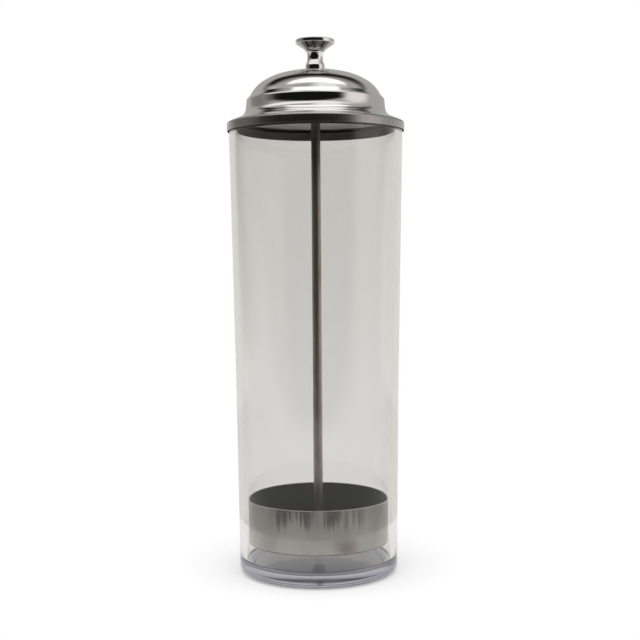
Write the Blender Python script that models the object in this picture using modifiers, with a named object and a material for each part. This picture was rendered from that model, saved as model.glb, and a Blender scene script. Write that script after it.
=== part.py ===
"""Straw dispenser: a clear jar, and a chromed lid that lifts a steel straw tray on a rod.

Metres, +Z up. The origin is the centre of the jar's foot, on the table. Every round piece is
turned about the Z axis. The lid, rod and tray rise out of the jar together and turn freely in it.
"""

import math

import bmesh
import bpy

# Shared fits and fineness
SEAT_GAP = 0.0003
THREAD_CLEARANCE = 0.00015
ROD_HOLE_CLEARANCE = 0.0002
RIM_CLEARANCE = 0.0003
PLUG_CLEARANCE = 0.0007
TRAY_CLEARANCE = 0.0014
LARGE_STEPS = 48
KNOB_STEPS = 32
SMALL_STEPS = 24
ARC_STEP = math.radians(22.5)
SHARP_ANGLE = math.radians(35)
WELD_DISTANCE = 0.000001
HEX_SIDES = 6
CUTTER_HEIGHT_SHARE = 3

# Jar, moulded in one piece with a thick floor and a slight flare towards the mouth
JAR_HEIGHT = 0.2295
JAR_MOUTH_RADIUS = 0.0445
JAR_FLARE = 0.0035
JAR_FLARE_CURVE_SHARE = 1.4
JAR_WALL = 0.0032
JAR_FLOOR = 0.0060
JAR_FOOT_ROUND = 0.0040
JAR_INNER_ROUND = 0.0028
JAR_LIP_ROUND = 0.0009
JAR_FLARE_STEPS = 7
FOOT_RING_WIDTH = 0.0032
FOOT_RECESS = 0.0008
GATE_RADIUS = 0.0016
GATE_HEIGHT = 0.0005

# Lid, pressed from sheet, and the plug ring pressed from the same sheet
LID_SHEET = 0.0005
RIM_BAND_HEIGHT = 0.0043
RIM_ROUND = 0.0013
FLANGE_WIDTH = 0.0090
FLANGE_DROP = 0.0037
WALL_FOOT_ROUND = 0.0044
WALL_HEIGHT = 0.0085
WALL_FLARE = 0.0014
SHOULDER_ROUND = 0.0010
STEP_WIDTH = 0.0013
STEP_DROP = 0.00125
STEP_ROUND = 0.0004
CROWN_HEIGHT = 0.0133
CROWN_CORNER_SHARES = ((0.28, 1.0), (0.667, 0.778), (0.869, 0.455))
CROWN_ROUND_SHARES = (1.25, 0.85, 0.45)
PLUG_DEPTH = 0.0040
PLUG_BEND = 0.0009
PLUG_FLANGE_INSET = 0.0008

# Knob, turned solid and screwed down on the rod's upper thread
KNOB_HEIGHT = 0.0158
KNOB_HEAD_RADIUS = 0.0099
KNOB_CROWN = 0.0006
KNOB_EDGE = 0.0016
KNOB_EDGE_ROUND = 0.0008
KNOB_THROAT_FLARE = 0.0009
KNOB_THROAT_HEIGHT = 0.0108
KNOB_FLARE_ROUND = 0.0035
KNOB_WAIST_WALL = 0.00205
KNOB_WAIST_HEIGHT = 0.0070
KNOB_WAIST_ROUND = 0.0050
KNOB_NECK_FLARE = 0.0004
KNOB_COLLAR_WIDTH = 0.0005
KNOB_COLLAR_HEIGHT = 0.0031
KNOB_COLLAR_ROUND = 0.0003
KNOB_BORE_DEPTH = 0.0082

# Rod and fasteners
ROD_RADIUS = 0.00238
ROD_SHOULDER = 0.00038
ROD_CHAMFER = 0.0004
THREAD_RUNOUT = 0.0015
THREAD_END_SPACE = 0.0003
NUT_WALL = 0.00135
NUT_HEIGHT = 0.0032
NUT_CHAMFER = 0.0005
WASHER_WIDTH = 0.0023
WASHER_THICKNESS = 0.0008
WASHER_CHAMFER = 0.0002
CAP_NUT_HEIGHT = 0.0055
CAP_NUT_HEX_HEIGHT = 0.0026
CAP_WALL = 0.00105
CAP_ROUND = 0.0022
CAP_END_WALL = 0.0014
CAP_NUT_SPACE = 0.0038

# Tray, a shallow drawn cup that carries the straws
TRAY_HEIGHT = 0.0227
TRAY_SHEET = 0.0005
TRAY_DRAFT = 0.0001
TRAY_CORNER_ROUND = 0.0014

# Radii that follow the jar, the rod and its thread
JAR_FOOT_RADIUS = JAR_MOUTH_RADIUS - JAR_FLARE
LID_RADIUS = JAR_MOUTH_RADIUS + RIM_CLEARANCE + LID_SHEET
WALL_FOOT_RADIUS = LID_RADIUS - FLANGE_WIDTH
CROWN_RADIUS = WALL_FOOT_RADIUS - WALL_FLARE - STEP_WIDTH
PLUG_RADIUS = JAR_MOUTH_RADIUS - JAR_WALL - PLUG_CLEARANCE
PLUG_FLANGE_RADIUS = LID_RADIUS - LID_SHEET - PLUG_FLANGE_INSET
TRAY_RADIUS = JAR_FOOT_RADIUS - JAR_WALL - TRAY_CLEARANCE
THREAD_RADIUS = ROD_RADIUS - ROD_SHOULDER
ROD_HOLE_RADIUS = THREAD_RADIUS + ROD_HOLE_CLEARANCE
THREADED_BORE_RADIUS = THREAD_RADIUS + THREAD_CLEARANCE
NUT_FLAT_RADIUS = THREADED_BORE_RADIUS + NUT_WALL
NUT_CORNER_RADIUS = NUT_FLAT_RADIUS / math.cos(math.pi / HEX_SIDES)
CAP_RADIUS = THREADED_BORE_RADIUS + CAP_WALL
WASHER_RADIUS = ROD_HOLE_RADIUS + WASHER_WIDTH
KNOB_WAIST_RADIUS = THREADED_BORE_RADIUS + KNOB_WAIST_WALL
KNOB_THROAT_RADIUS = KNOB_WAIST_RADIUS + KNOB_THROAT_FLARE
KNOB_NECK_RADIUS = KNOB_WAIST_RADIUS + KNOB_NECK_FLARE
KNOB_COLLAR_RADIUS = KNOB_NECK_RADIUS + KNOB_COLLAR_WIDTH

# Heights above the table
SEAT_Z = JAR_HEIGHT + SEAT_GAP
FLANGE_SLOPE = math.atan2(FLANGE_DROP, FLANGE_WIDTH)
RIM_CORNER_Z = (
    SEAT_Z
    + LID_SHEET
    + SEAT_GAP
    + LID_SHEET / math.cos(FLANGE_SLOPE)
    - (LID_RADIUS - PLUG_FLANGE_RADIUS) * math.tan(FLANGE_SLOPE)
)
STEP_Z = RIM_CORNER_Z + FLANGE_DROP + WALL_HEIGHT + STEP_DROP
CROWN_Z = STEP_Z + CROWN_HEIGHT
KNOB_Z = CROWN_Z + SEAT_GAP
LID_WASHER_Z = CROWN_Z - LID_SHEET - SEAT_GAP - WASHER_THICKNESS
LID_NUT_Z = LID_WASHER_Z - SEAT_GAP - NUT_HEIGHT
CAP_NUT_Z = JAR_FLOOR + CAP_NUT_SPACE
TRAY_Z = CAP_NUT_Z + CAP_NUT_HEIGHT + SEAT_GAP
TRAY_WASHER_Z = TRAY_Z + TRAY_SHEET + SEAT_GAP
TRAY_NUT_Z = TRAY_WASHER_Z + WASHER_THICKNESS + SEAT_GAP
ROD_FOOT_Z = CAP_NUT_Z + CAP_END_WALL + THREAD_END_SPACE
ROD_TOP_Z = KNOB_Z + KNOB_BORE_DEPTH - THREAD_END_SPACE
LOWER_SHOULDER_Z = TRAY_NUT_Z + NUT_HEIGHT + THREAD_RUNOUT
UPPER_SHOULDER_Z = LID_NUT_Z - THREAD_RUNOUT


def arc(centre, radius, start, turn):
    """Points along an arc, from the angle start through the angle turn, both ends included."""
    steps = max(2, math.ceil(abs(turn) / ARC_STEP))
    angles = [start + turn * i / steps for i in range(steps + 1)]
    return [(centre[0] + radius * math.cos(a), centre[1] + radius * math.sin(a)) for a in angles]


def rounded(corners):
    """An outline through (r, z, round) corners, each corner with an arc of its round."""
    points = []
    for i, (r, z, radius) in enumerate(corners):
        if radius == 0:
            points.append((r, z))
            continue
        before, after = corners[i - 1], corners[i + 1]
        arrive = math.atan2(z - before[1], r - before[0])
        leave = math.atan2(after[1] - z, after[0] - r)
        turn = math.remainder(leave - arrive, math.tau)
        side = math.copysign(math.pi / 2, turn)
        setback = radius * math.tan(abs(turn) / 2)
        start = (r - setback * math.cos(arrive), z - setback * math.sin(arrive))
        centre = (
            start[0] + radius * math.cos(arrive + side),
            start[1] + radius * math.sin(arrive + side),
        )
        points += arc(centre, radius, arrive - side, turn)
    return points


def finish(name, colour, roughness, metallic=0.0, transmission=0.0):
    """A Principled material."""
    material = bpy.data.materials.new(name)
    material.use_nodes = True
    shader = material.node_tree.nodes["Principled BSDF"]
    shader.inputs["Base Color"].default_value = (*colour, 1.0)
    shader.inputs["Roughness"].default_value = roughness
    shader.inputs["Metallic"].default_value = metallic
    shader.inputs["Transmission Weight"].default_value = transmission
    material.diffuse_color = (*colour, 1.0)
    return material


def mesh_object(name, mesh, collection):
    """A new object for a mesh, in a collection."""
    made = bpy.data.objects.new(name, mesh)
    collection.objects.link(made)
    return made


def outline_mesh(name, outline, closed):
    """The outline as a chain of edges in the XZ plane, closed for a ring's section."""
    mesh = bpy.data.meshes.new(name)
    edges = [(i, i + 1) for i in range(len(outline) - 1)]
    if closed:
        edges.append((len(outline) - 1, 0))
    mesh.from_pydata([(r, 0, z) for r, z in outline], edges, [])
    return mesh


def turned(name, outline, collection, steps, closed=False, sheet=0.0):
    """Turn an outline a full circle about Z, and give a pressed piece its sheet thickness."""
    piece = mesh_object(name, outline_mesh(name, outline, closed), collection)
    screw = piece.modifiers.new("turn", "SCREW")
    screw.axis = "Z"
    screw.angle = math.tau
    screw.steps = steps
    screw.render_steps = steps
    screw.use_merge_vertices = True
    screw.merge_threshold = WELD_DISTANCE
    if sheet:
        wall = piece.modifiers.new("sheet", "SOLIDIFY")
        wall.thickness = sheet
        wall.offset = -1
        wall.use_even_offset = True
    return piece


def hexagon_cutter(name, height, cutters):
    """A tall hexagonal prism, flat to flat as wide as a nut, that leaves a nut's six sides."""
    mesh = bpy.data.meshes.new(name)
    prism = bmesh.new()
    bmesh.ops.create_cone(
        prism,
        cap_ends=True,
        segments=HEX_SIDES,
        radius1=NUT_CORNER_RADIUS,
        radius2=NUT_CORNER_RADIUS,
        depth=height * CUTTER_HEIGHT_SHARE,
    )
    prism.to_mesh(mesh)
    prism.free()
    cutter = mesh_object(name, mesh, cutters)
    cutter.hide_render = True
    cutter.display_type = "WIRE"
    return cutter


def smooth(piece):
    """Settle a piece's modifiers into its mesh, then shade it smooth between its sharp edges."""
    bpy.context.view_layer.update()
    evaluated = piece.evaluated_get(bpy.context.evaluated_depsgraph_get())
    mesh = bpy.data.meshes.new_from_object(evaluated)
    piece.modifiers.clear()
    piece.data = mesh
    mesh.name = piece.name
    mesh.shade_smooth()
    mesh.set_sharp_from_angle(angle=SHARP_ANGLE)
    return piece


def dress(piece, material, parent, height):
    """Give a piece its material, and stand it at a height above the table under its parent."""
    piece.data.materials.clear()
    piece.data.materials.append(material)
    piece.parent = parent
    level = height
    if parent:
        level -= parent["level"]
    piece.location = (0, 0, level)
    return piece


def axis_empty(name, collection, height, parent=None):
    """An empty on the Z axis that carries the pieces that move together."""
    empty = bpy.data.objects.new(name, None)
    empty.empty_display_type = "SINGLE_ARROW"
    empty.empty_display_size = JAR_FOOT_RADIUS
    collection.objects.link(empty)
    empty["level"] = height
    empty.parent = parent
    level = height
    if parent:
        level -= parent["level"]
    empty.location = (0, 0, level)
    return empty


def jar_radius(height):
    """The jar's outer radius at a height: it flares a little more towards the mouth."""
    share = (height / JAR_HEIGHT) ** JAR_FLARE_CURVE_SHARE
    return JAR_FOOT_RADIUS + JAR_FLARE * share


def jar_flare(low, high, inset):
    """Points up the jar's flared wall, set in from its outer face."""
    heights = [low + (high - low) * i / JAR_FLARE_STEPS for i in range(JAR_FLARE_STEPS + 1)]
    return [(jar_radius(z) - inset, z) for z in heights]


def make_jar(collection):
    """The clear jar: thick floor, flared wall, rounded lip, foot ring and moulding gate."""
    inner_foot = jar_radius(JAR_FLOOR) - JAR_WALL
    inner_corner = (inner_foot - JAR_INNER_ROUND, JAR_FLOOR + JAR_INNER_ROUND)
    lip_z = JAR_HEIGHT - JAR_LIP_ROUND
    lip_outer = jar_radius(lip_z) - JAR_LIP_ROUND
    lip_inner = jar_radius(lip_z) - JAR_WALL + JAR_LIP_ROUND
    foot_corner = (jar_radius(JAR_FOOT_ROUND) - JAR_FOOT_ROUND, JAR_FOOT_ROUND)
    recess_radius = foot_corner[0] - FOOT_RING_WIDTH
    quarter = math.pi / 2
    outline = [(0, JAR_FLOOR)]
    outline += arc(inner_corner, JAR_INNER_ROUND, -quarter, quarter)
    outline += jar_flare(JAR_FLOOR + JAR_INNER_ROUND, lip_z, JAR_WALL)[1:-1]
    outline += arc((lip_inner, lip_z), JAR_LIP_ROUND, math.pi, -quarter)
    outline += arc((lip_outer, lip_z), JAR_LIP_ROUND, quarter, -quarter)
    outline += reversed(jar_flare(JAR_FOOT_ROUND, lip_z, 0)[1:-1])
    outline += arc(foot_corner, JAR_FOOT_ROUND, 0, -quarter)
    outline += [
        (recess_radius, 0),
        (recess_radius - FOOT_RECESS, FOOT_RECESS),
        (GATE_RADIUS, FOOT_RECESS),
        (GATE_RADIUS, FOOT_RECESS - GATE_HEIGHT),
        (0, FOOT_RECESS - GATE_HEIGHT),
    ]
    return smooth(turned("jar", outline, collection, LARGE_STEPS))


def make_lid_dome(collection):
    """The pressed lid: crown, step, side wall, sloping flange and turned-down rim band."""
    corners = [(ROD_HOLE_RADIUS, CROWN_Z, 0)]
    for (r_share, z_share), round_share in zip(CROWN_CORNER_SHARES, CROWN_ROUND_SHARES):
        corners.append(
            (
                CROWN_RADIUS * r_share,
                STEP_Z + CROWN_HEIGHT * z_share,
                CROWN_RADIUS * round_share,
            )
        )
    corners += [
        (CROWN_RADIUS, STEP_Z, STEP_ROUND),
        (WALL_FOOT_RADIUS - WALL_FLARE, STEP_Z - STEP_DROP, SHOULDER_ROUND),
        (WALL_FOOT_RADIUS, RIM_CORNER_Z + FLANGE_DROP, WALL_FOOT_ROUND),
        (LID_RADIUS, RIM_CORNER_Z, RIM_ROUND),
        (LID_RADIUS, RIM_CORNER_Z - RIM_BAND_HEIGHT, 0),
    ]
    outline = [(r, z - RIM_CORNER_Z) for r, z in rounded(corners)]
    return smooth(turned("lid_dome", outline, collection, LARGE_STEPS, sheet=LID_SHEET))


def make_plug_ring(collection):
    """The ring under the lid: a flange on the jar's mouth and a skirt that centres the lid."""
    corners = [
        (PLUG_FLANGE_RADIUS, 0, 0),
        (PLUG_RADIUS, 0, PLUG_BEND),
        (PLUG_RADIUS, -PLUG_DEPTH, 0),
    ]
    return smooth(
        turned("lid_plug_ring", rounded(corners), collection, LARGE_STEPS, sheet=LID_SHEET)
    )


def make_knob(collection):
    """The turned knob: low crown, edge, flare, waist and collar, with a blind threaded bore."""
    corners = [
        (0, KNOB_HEIGHT, 0),
        (KNOB_HEAD_RADIUS, KNOB_HEIGHT - KNOB_CROWN, KNOB_EDGE_ROUND),
        (KNOB_HEAD_RADIUS, KNOB_HEIGHT - KNOB_CROWN - KNOB_EDGE, KNOB_EDGE_ROUND),
        (KNOB_THROAT_RADIUS, KNOB_THROAT_HEIGHT, KNOB_FLARE_ROUND),
        (KNOB_WAIST_RADIUS, KNOB_WAIST_HEIGHT, KNOB_WAIST_ROUND),
        (KNOB_NECK_RADIUS, KNOB_COLLAR_HEIGHT, 0),
        (KNOB_COLLAR_RADIUS, KNOB_COLLAR_HEIGHT, KNOB_COLLAR_ROUND),
        (KNOB_COLLAR_RADIUS, 0, KNOB_COLLAR_ROUND),
        (THREADED_BORE_RADIUS, 0, 0),
        (THREADED_BORE_RADIUS, KNOB_BORE_DEPTH, 0),
        (0, KNOB_BORE_DEPTH, 0),
    ]
    return smooth(turned("knob", rounded(corners), collection, KNOB_STEPS))


def make_rod(collection):
    """The lift rod: full diameter between two shoulders, with a threaded end at each side."""
    length = ROD_TOP_Z - ROD_FOOT_Z
    upper = UPPER_SHOULDER_Z - ROD_FOOT_Z
    lower = LOWER_SHOULDER_Z - ROD_FOOT_Z
    outline = [
        (0, length),
        (THREAD_RADIUS - ROD_CHAMFER, length),
        (THREAD_RADIUS, length - ROD_CHAMFER),
        (THREAD_RADIUS, upper),
        (ROD_RADIUS, upper - ROD_CHAMFER),
        (ROD_RADIUS, lower + ROD_CHAMFER),
        (THREAD_RADIUS, lower),
        (THREAD_RADIUS, ROD_CHAMFER),
        (THREAD_RADIUS - ROD_CHAMFER, 0),
        (0, 0),
    ]
    return smooth(turned("lift_rod", outline, collection, SMALL_STEPS))


def make_tray(collection):
    """The drawn steel cup, with a hole for the rod in its floor."""
    corners = [
        (TRAY_RADIUS, TRAY_HEIGHT, 0),
        (TRAY_RADIUS - TRAY_DRAFT, 0, TRAY_CORNER_ROUND),
        (ROD_HOLE_RADIUS, 0, 0),
    ]
    return smooth(turned("tray_cup", rounded(corners), collection, LARGE_STEPS, sheet=TRAY_SHEET))


def make_washer(name, collection):
    """A plain washer with its outer edges chamfered."""
    outline = [
        (ROD_HOLE_RADIUS, WASHER_THICKNESS),
        (WASHER_RADIUS - WASHER_CHAMFER, WASHER_THICKNESS),
        (WASHER_RADIUS, WASHER_THICKNESS - WASHER_CHAMFER),
        (WASHER_RADIUS, WASHER_CHAMFER),
        (WASHER_RADIUS - WASHER_CHAMFER, 0),
        (ROD_HOLE_RADIUS, 0),
    ]
    return smooth(turned(name, outline, collection, SMALL_STEPS, closed=True))


def cut_hexagon(piece, height, cutters):
    """Cut a turned blank to a nut's six sides."""
    cutter = hexagon_cutter(f"{piece.name}_flats", height, cutters)
    flats = piece.modifiers.new("flats", "BOOLEAN")
    flats.operation = "INTERSECT"
    flats.object = cutter
    return smooth(piece)


def make_nut(name, collection, cutters):
    """A hexagon nut, its corners chamfered on both faces."""
    outline = [
        (THREADED_BORE_RADIUS, NUT_HEIGHT),
        (NUT_CORNER_RADIUS - NUT_CHAMFER, NUT_HEIGHT),
        (NUT_CORNER_RADIUS + NUT_CHAMFER, NUT_HEIGHT - NUT_CHAMFER),
        (NUT_CORNER_RADIUS + NUT_CHAMFER, NUT_CHAMFER),
        (NUT_CORNER_RADIUS - NUT_CHAMFER, 0),
        (THREADED_BORE_RADIUS, 0),
    ]
    blank = turned(name, outline, collection, SMALL_STEPS, closed=True)
    return cut_hexagon(blank, NUT_HEIGHT, cutters)


def make_cap_nut(collection, cutters):
    """The cap nut under the tray: six sides above, a rounded cap below, a blind threaded bore."""
    hexagon_foot = CAP_NUT_HEIGHT - CAP_NUT_HEX_HEIGHT
    corners = [
        (0, CAP_END_WALL, 0),
        (THREADED_BORE_RADIUS, CAP_END_WALL, 0),
        (THREADED_BORE_RADIUS, CAP_NUT_HEIGHT, 0),
        (NUT_CORNER_RADIUS - NUT_CHAMFER, CAP_NUT_HEIGHT, 0),
        (NUT_CORNER_RADIUS + NUT_CHAMFER, CAP_NUT_HEIGHT - NUT_CHAMFER, 0),
        (NUT_CORNER_RADIUS + NUT_CHAMFER, hexagon_foot + NUT_CHAMFER, 0),
        (NUT_CORNER_RADIUS - NUT_CHAMFER, hexagon_foot, 0),
        (CAP_RADIUS, hexagon_foot, 0),
        (CAP_RADIUS, 0, CAP_ROUND),
        (0, 0, 0),
    ]
    blank = turned("cap_nut", rounded(corners), collection, SMALL_STEPS)
    return cut_hexagon(blank, CAP_NUT_HEIGHT, cutters)


def main():
    """Clear the scene, then make, dress and stand each piece of the dispenser."""
    for old in list(bpy.data.objects):
        bpy.data.objects.remove(old)
    parts = bpy.data.collections.new("straw_dispenser")
    cutters = bpy.data.collections.new("cutters")
    bpy.context.scene.collection.children.link(parts)
    bpy.context.scene.collection.children.link(cutters)

    clear = finish("clear_acrylic", (0.90, 0.91, 0.92), 0.04, transmission=1.0)
    chrome = finish("chrome_plate", (0.80, 0.80, 0.80), 0.10, metallic=1.0)
    polished = finish("chrome_knob", (0.84, 0.84, 0.84), 0.04, metallic=1.0)
    ring_steel = finish("ring_steel", (0.36, 0.36, 0.36), 0.28, metallic=1.0)
    rod_steel = finish("rod_steel", (0.50, 0.49, 0.47), 0.30, metallic=1.0)
    tray_steel = finish("tray_steel", (0.58, 0.57, 0.55), 0.36, metallic=1.0)
    zinc = finish("zinc_plate", (0.62, 0.62, 0.63), 0.32, metallic=1.0)

    lift = axis_empty("lift_axis", parts, SEAT_Z)
    turn = axis_empty("turn_axis", parts, SEAT_Z, parent=lift)

    dress(make_jar(parts), clear, None, 0)
    dress(make_rod(parts), rod_steel, lift, ROD_FOOT_Z)
    dress(make_lid_dome(parts), chrome, turn, RIM_CORNER_Z)
    dress(make_plug_ring(parts), ring_steel, turn, SEAT_Z)
    dress(make_knob(parts), polished, turn, KNOB_Z)
    dress(make_washer("lid_washer", parts), zinc, turn, LID_WASHER_Z)
    dress(make_nut("lid_nut", parts, cutters), zinc, turn, LID_NUT_Z)
    dress(make_tray(parts), tray_steel, turn, TRAY_Z)
    dress(make_washer("tray_washer", parts), zinc, turn, TRAY_WASHER_Z)
    dress(make_nut("tray_nut", parts, cutters), zinc, turn, TRAY_NUT_Z)
    dress(make_cap_nut(parts, cutters), zinc, turn, CAP_NUT_Z)


if __name__ == "__main__":
    main()
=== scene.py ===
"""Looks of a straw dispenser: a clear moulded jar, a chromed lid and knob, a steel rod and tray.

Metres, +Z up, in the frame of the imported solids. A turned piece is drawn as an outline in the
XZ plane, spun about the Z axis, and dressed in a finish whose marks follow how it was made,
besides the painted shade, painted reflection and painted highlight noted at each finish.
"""

import logging
import math
from collections.abc import Callable, Iterable, Sequence
from dataclasses import dataclass
from enum import Enum
from functools import cached_property, partial, reduce
from itertools import pairwise
from typing import ClassVar

import bmesh
import bpy
from mathutils import Matrix, Vector


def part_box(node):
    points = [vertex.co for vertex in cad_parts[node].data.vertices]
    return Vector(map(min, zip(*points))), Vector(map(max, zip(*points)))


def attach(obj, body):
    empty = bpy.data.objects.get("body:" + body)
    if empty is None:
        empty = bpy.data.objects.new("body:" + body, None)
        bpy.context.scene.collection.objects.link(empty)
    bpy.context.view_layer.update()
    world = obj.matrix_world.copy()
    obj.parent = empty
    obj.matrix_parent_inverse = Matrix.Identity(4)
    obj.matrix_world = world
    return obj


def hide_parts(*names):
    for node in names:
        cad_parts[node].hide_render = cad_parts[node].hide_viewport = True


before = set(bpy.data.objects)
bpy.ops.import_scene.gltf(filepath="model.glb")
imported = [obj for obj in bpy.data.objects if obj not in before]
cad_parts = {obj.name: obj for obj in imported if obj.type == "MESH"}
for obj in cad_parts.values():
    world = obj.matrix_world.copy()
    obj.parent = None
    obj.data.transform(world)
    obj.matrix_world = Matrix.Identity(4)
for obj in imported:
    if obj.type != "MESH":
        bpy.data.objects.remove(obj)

LOG = logging.getLogger("straw_dispenser")

# Fineness of the turned pieces
LARGE_SEGMENTS = 256
MEDIUM_SEGMENTS = 128
SMALL_SEGMENTS = 96
ARC_STEP = math.radians(4.5)
LEAST_ARC_STEPS = 4
SMOOTH_ANGLE = math.radians(32)
SHEET_EDGE = math.radians(60)
NUT_EDGE = math.radians(40)
FACE_WEIGHT = 80
WELD = 2e-6
NEAR_AXIS = 2e-6
SEED_SIZE = 1e-4
HEX_SIDES = 6
BOX_CORNERS = (0, 6)
QUARTER = math.pi / 2

FINE_SUFFIX = "_fine"
INNER_MARK = "inner_side"
OUTPUT = "Material Output"
RAMP_KIND = "SMOOTHSTEP"
MIX_COLOURS = (6, 7)
MIX_RESULT = 2
WHITE = (1, 1, 1, 1)

Point = tuple[float, float]
Place = tuple[float, float, float]
Colour = tuple[float, float, float]
Edge = tuple[float, int]
Piece = bpy.types.Object
Output = bpy.types.NodeSocket
Inputs = dict[str | int, object]


class Body(Enum):
    """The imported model's bodies."""

    JAR = "jar"
    ROD = "lift_rod"
    LID = "lid_and_tray"


class Slot(Enum):
    """The record's material slots."""

    CLEAR_ACRYLIC = "clear_acrylic"
    CHROME_PLATE = "chrome_plate"
    CHROME_KNOB = "chrome_knob"
    RING_STEEL = "ring_steel"
    ROD_STEEL = "rod_steel"
    TRAY_STEEL = "tray_steel"
    ZINC_PLATE = "zinc_plate"


class Socket(Enum):
    """The shader sockets that a finish drives with a pattern."""

    COLOUR = "Base Color"
    METALLIC = "Metallic"
    ROUGHNESS = "Roughness"
    NORMAL = "Normal"


@dataclass(frozen=True)
class Corner:
    """A corner of a turned outline, at a radius and a height, with the radius of its rounding."""

    radius: float
    height: float
    round: float = 0.0


def arc_points(centre: Point, radius: float, start: float, turn: float) -> list[Point]:
    """Step along an arc.

    Args:
        centre: The arc's centre, as radius and height.
        radius: The arc's own radius.
        start: The angle at which it starts.
        turn: The signed angle that it goes through.

    Returns:
        The points, both ends included.
    """
    steps = max(LEAST_ARC_STEPS, math.ceil(abs(turn) / ARC_STEP))
    angles = [start + turn * i / steps for i in range(steps + 1)]
    return [(centre[0] + radius * math.cos(a), centre[1] + radius * math.sin(a)) for a in angles]


def rounded(*corners: Corner) -> list[Point]:
    """Draw an outline through corners, each with an arc of its rounding.

    Args:
        corners: The outline's corners in order. The first and last are sharp.

    Returns:
        The outline's points.
    """
    points: list[Point] = []
    for i, corner in enumerate(corners):
        if corner.round == 0:
            points.append((corner.radius, corner.height))
            continue
        before, after = corners[i - 1], corners[i + 1]
        arrive = math.atan2(corner.height - before.height, corner.radius - before.radius)
        leave = math.atan2(after.height - corner.height, after.radius - corner.radius)
        turn = math.remainder(leave - arrive, math.tau)
        side = math.copysign(QUARTER, turn)
        setback = corner.round * math.tan(abs(turn) / 2)
        centre = (
            corner.radius - setback * math.cos(arrive) + corner.round * math.cos(arrive + side),
            corner.height - setback * math.sin(arrive) + corner.round * math.sin(arrive + side),
        )
        points += arc_points(centre, corner.round, arrive - side, turn)
    return points


def activate(piece: Piece) -> None:
    """Select one piece alone and make it the active one.

    Args:
        piece: The piece.
    """
    bpy.ops.object.select_all(action="DESELECT")
    piece.select_set(True)
    bpy.context.view_layer.objects.active = piece


def take_name(name: str) -> Piece:
    """Name the active piece and its data.

    Args:
        name: The name.

    Returns:
        The piece.
    """
    piece = bpy.context.active_object
    piece.name = piece.data.name = name
    return piece


def fix_place() -> None:
    """Move the active piece's place, turn and size into its mesh."""
    bpy.ops.object.transform_apply(location=True, rotation=True, scale=True)


def open_mesh() -> None:
    """Open the active piece in edit mode, with all of it selected."""
    bpy.ops.object.mode_set(mode="EDIT")
    bpy.ops.mesh.select_all(action="SELECT")


def close_mesh() -> None:
    """Close the open piece's seams, point its faces outwards, and leave edit mode."""
    bpy.ops.mesh.select_all(action="SELECT")
    bpy.ops.mesh.remove_doubles(threshold=WELD)
    bpy.ops.mesh.normals_make_consistent(inside=False)
    bpy.ops.object.mode_set(mode="OBJECT")


def select_where(piece: Piece, wanted: Callable[[bmesh.types.BMVert], bool]) -> None:
    """Select the vertices that a test picks, in edit mode, with the edges and faces between.

    Args:
        piece: The piece in edit mode.
        wanted: The test.
    """
    bpy.ops.mesh.select_mode(type="VERT")
    bpy.ops.mesh.select_all(action="DESELECT")
    shape = bmesh.from_edit_mesh(piece.data)
    for vertex in filter(wanted, shape.verts):
        vertex.select_set(True)
    shape.select_flush(True)
    bmesh.update_edit_mesh(piece.data)


def draw_outline(name: str, points: Sequence[Point], closed: bool) -> Piece:
    """Draw an outline in the XZ plane, from one seed point extruded along it.

    Args:
        name: The piece's name.
        points: The outline, as radii and heights.
        closed: Whether the last point joins the first, as in a ring's section.

    Returns:
        The new piece, left in edit mode with all of the outline selected.
    """
    bpy.ops.mesh.primitive_plane_add(size=SEED_SIZE, location=(points[0][0], 0, points[0][1]))
    piece = take_name(name)
    fix_place()
    open_mesh()
    bpy.ops.mesh.merge(type="CENTER")
    for before, after in pairwise(points):
        step = (after[0] - before[0], 0, after[1] - before[1])
        bpy.ops.mesh.extrude_vertices_move(TRANSFORM_OT_translate={"value": step})
    if closed:
        select_where(piece, lambda vertex: len(vertex.link_edges) == 1)
        bpy.ops.mesh.edge_face_add()
    bpy.ops.mesh.select_all(action="SELECT")
    return piece


def turned(node: str, points: Sequence[Point], segments: int, closed: bool = False) -> Piece:
    """Turn an outline a full circle about the Z axis.

    Args:
        node: The solid that the piece stands for.
        points: The outline, as radii and heights.
        segments: How many steps the circle has.
        closed: Whether the outline is a ring's closed section.

    Returns:
        The turned piece, with its seam and poles closed and its faces pointing out.
    """
    piece = draw_outline(node + FINE_SUFFIX, points, closed)
    bpy.ops.mesh.spin(steps=segments, angle=math.tau, center=(0, 0, 0), axis=(0, 0, 1))
    close_mesh()
    return piece


def modified(piece: Piece, kind: str, **settings: object) -> Piece:
    """Give a piece a modifier and apply it.

    Args:
        piece: The piece.
        kind: The modifier's type.
        settings: The modifier's settings.

    Returns:
        The piece.
    """
    activate(piece)
    bpy.ops.object.modifier_add(type=kind)
    modifier = piece.modifiers[-1]
    for key, value in settings.items():
        setattr(modifier, key, value)
    bpy.ops.object.modifier_apply(modifier=modifier.name)
    return piece


def eased(piece: Piece, edge: Edge, angle: float) -> Piece:
    """Break a piece's sharp edges.

    Args:
        piece: The piece.
        edge: The width of the broken edges, and how many faces each has.
        angle: The least angle of an edge that is broken.

    Returns:
        The piece.
    """
    width, faces = edge
    limits = {"limit_method": "ANGLE", "angle_limit": angle, "harden_normals": False}
    return modified(piece, "BEVEL", width=width, segments=faces, **limits)


def combined(piece: Piece, other: Piece, operation: str) -> Piece:
    """Cut a piece with another, or join the other to it, and take the other away.

    Args:
        piece: The piece.
        other: The other piece.
        operation: What is done, as the Boolean modifier names it.

    Returns:
        The piece.
    """
    modified(piece, "BOOLEAN", operation=operation, solver="EXACT", object=other)
    bpy.data.objects.remove(other)
    return piece


def shaded(piece: Piece) -> Piece:
    """Shade a piece smooth between its sharp edges, its wide faces kept true.

    Args:
        piece: The piece.

    Returns:
        The piece.
    """
    activate(piece)
    bpy.ops.object.shade_smooth_by_angle(angle=SMOOTH_ANGLE)
    return modified(piece, "WEIGHTED_NORMAL", keep_sharp=True, weight=FACE_WEIGHT)


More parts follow.
